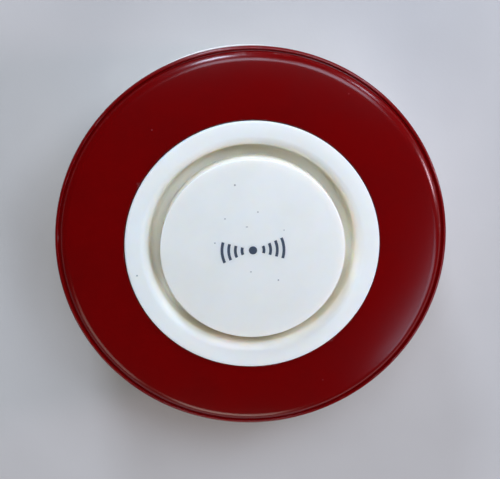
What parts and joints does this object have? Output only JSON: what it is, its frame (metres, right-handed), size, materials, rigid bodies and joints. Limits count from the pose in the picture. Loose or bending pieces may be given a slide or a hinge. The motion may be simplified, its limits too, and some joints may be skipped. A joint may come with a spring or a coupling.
{
  "type": "indoor alarm siren",
  "caption": "Round battery-powered indoor alarm siren: red flash lens ring, white horn with annular sound groove and raised disc, on a bayonet wall plate.",
  "frame": {"origin": "centre of the wall plate's back face, on the surface that it rests on", "axes": "+Z from the wall plate to the front of the siren, +X to the right of someone facing the front"},
  "size_m": [0.12, 0.12, 0.042],
  "materials": {
    "white_abs": "fine satin moulded white",
    "red_lens": "satin tinted red",
    "cell_jacket": "printed film, plain",
    "spring_steel": "nickel plated",
    "screw_steel": "zinc plated",
    "circuit_board": "green solder mask",
    "black_plastic": "moulded black",
    "shield_tin": "tinned sheet",
    "copper_wire": "bare copper",
    "brass_sheet": "rolled brass",
    "ceramic": "silvered ceramic",
    "gasket_rubber": "soft black rubber",
    "lamp_resin": "clear resin over phosphor"
  },
  "bodies": {
    "wall_plate": {"mounting_plate": "white_abs"},
    "siren": {"rear_housing": "white_abs", "battery_cover": "white_abs", "battery_cover_screw": "screw_steel", "battery_cell_1": "cell_jacket", "battery_cell_2": "cell_jacket", "battery_cell_3": "cell_jacket", "battery_cell_4": "cell_jacket", "battery_springs": "spring_steel", "battery_plates": "spring_steel", "main_board": "circuit_board", "board_screws": "screw_steel", "flash_leds": "lamp_resin", "inductor": "black_plastic", "capacitor": "shield_tin", "controller_chip": "black_plastic", "radio_module": "shield_tin", "antenna": "copper_wire", "light_reflector": "white_abs", "piezo_case": "black_plastic", "piezo_diaphragm": "brass_sheet", "piezo_ceramic": "ceramic", "diaphragm_gasket": "gasket_rubber", "piezo_pins": "spring_steel", "front_horn": "white_abs", "deflector_disc": "white_abs", "siren_lens": "red_lens", "housing_screws": "screw_steel", "tamper_switch": "black_plastic", "link_switch": "black_plastic"},
    "tamper": {"tamper_plunger": "black_plastic", "tamper_spring": "spring_steel"},
    "button": {"link_button": "black_plastic"}
  },
  "joints": [
    {"name": "bayonet_twist", "type": "hinge", "parent": "wall_plate", "child": "siren", "pos_m": [0, 0, 0.0027], "axis": [0, 0, 1], "range_deg": [0, 15]},
    {"name": "tamper_press", "type": "slide", "parent": "siren", "child": "tamper", "axis": [0, 0, 1], "range_m": [0, 0.001], "stiffness_N_per_m": 400, "springref_m": -0.0013, "deforming": ["tamper_spring"]},
    {"name": "link_button_press", "type": "slide", "parent": "siren", "child": "button", "axis": [0, 0, 1], "range_m": [0, 0.0008], "stiffness_N_per_m": 1200, "springref_m": -0.0004}
  ]
}
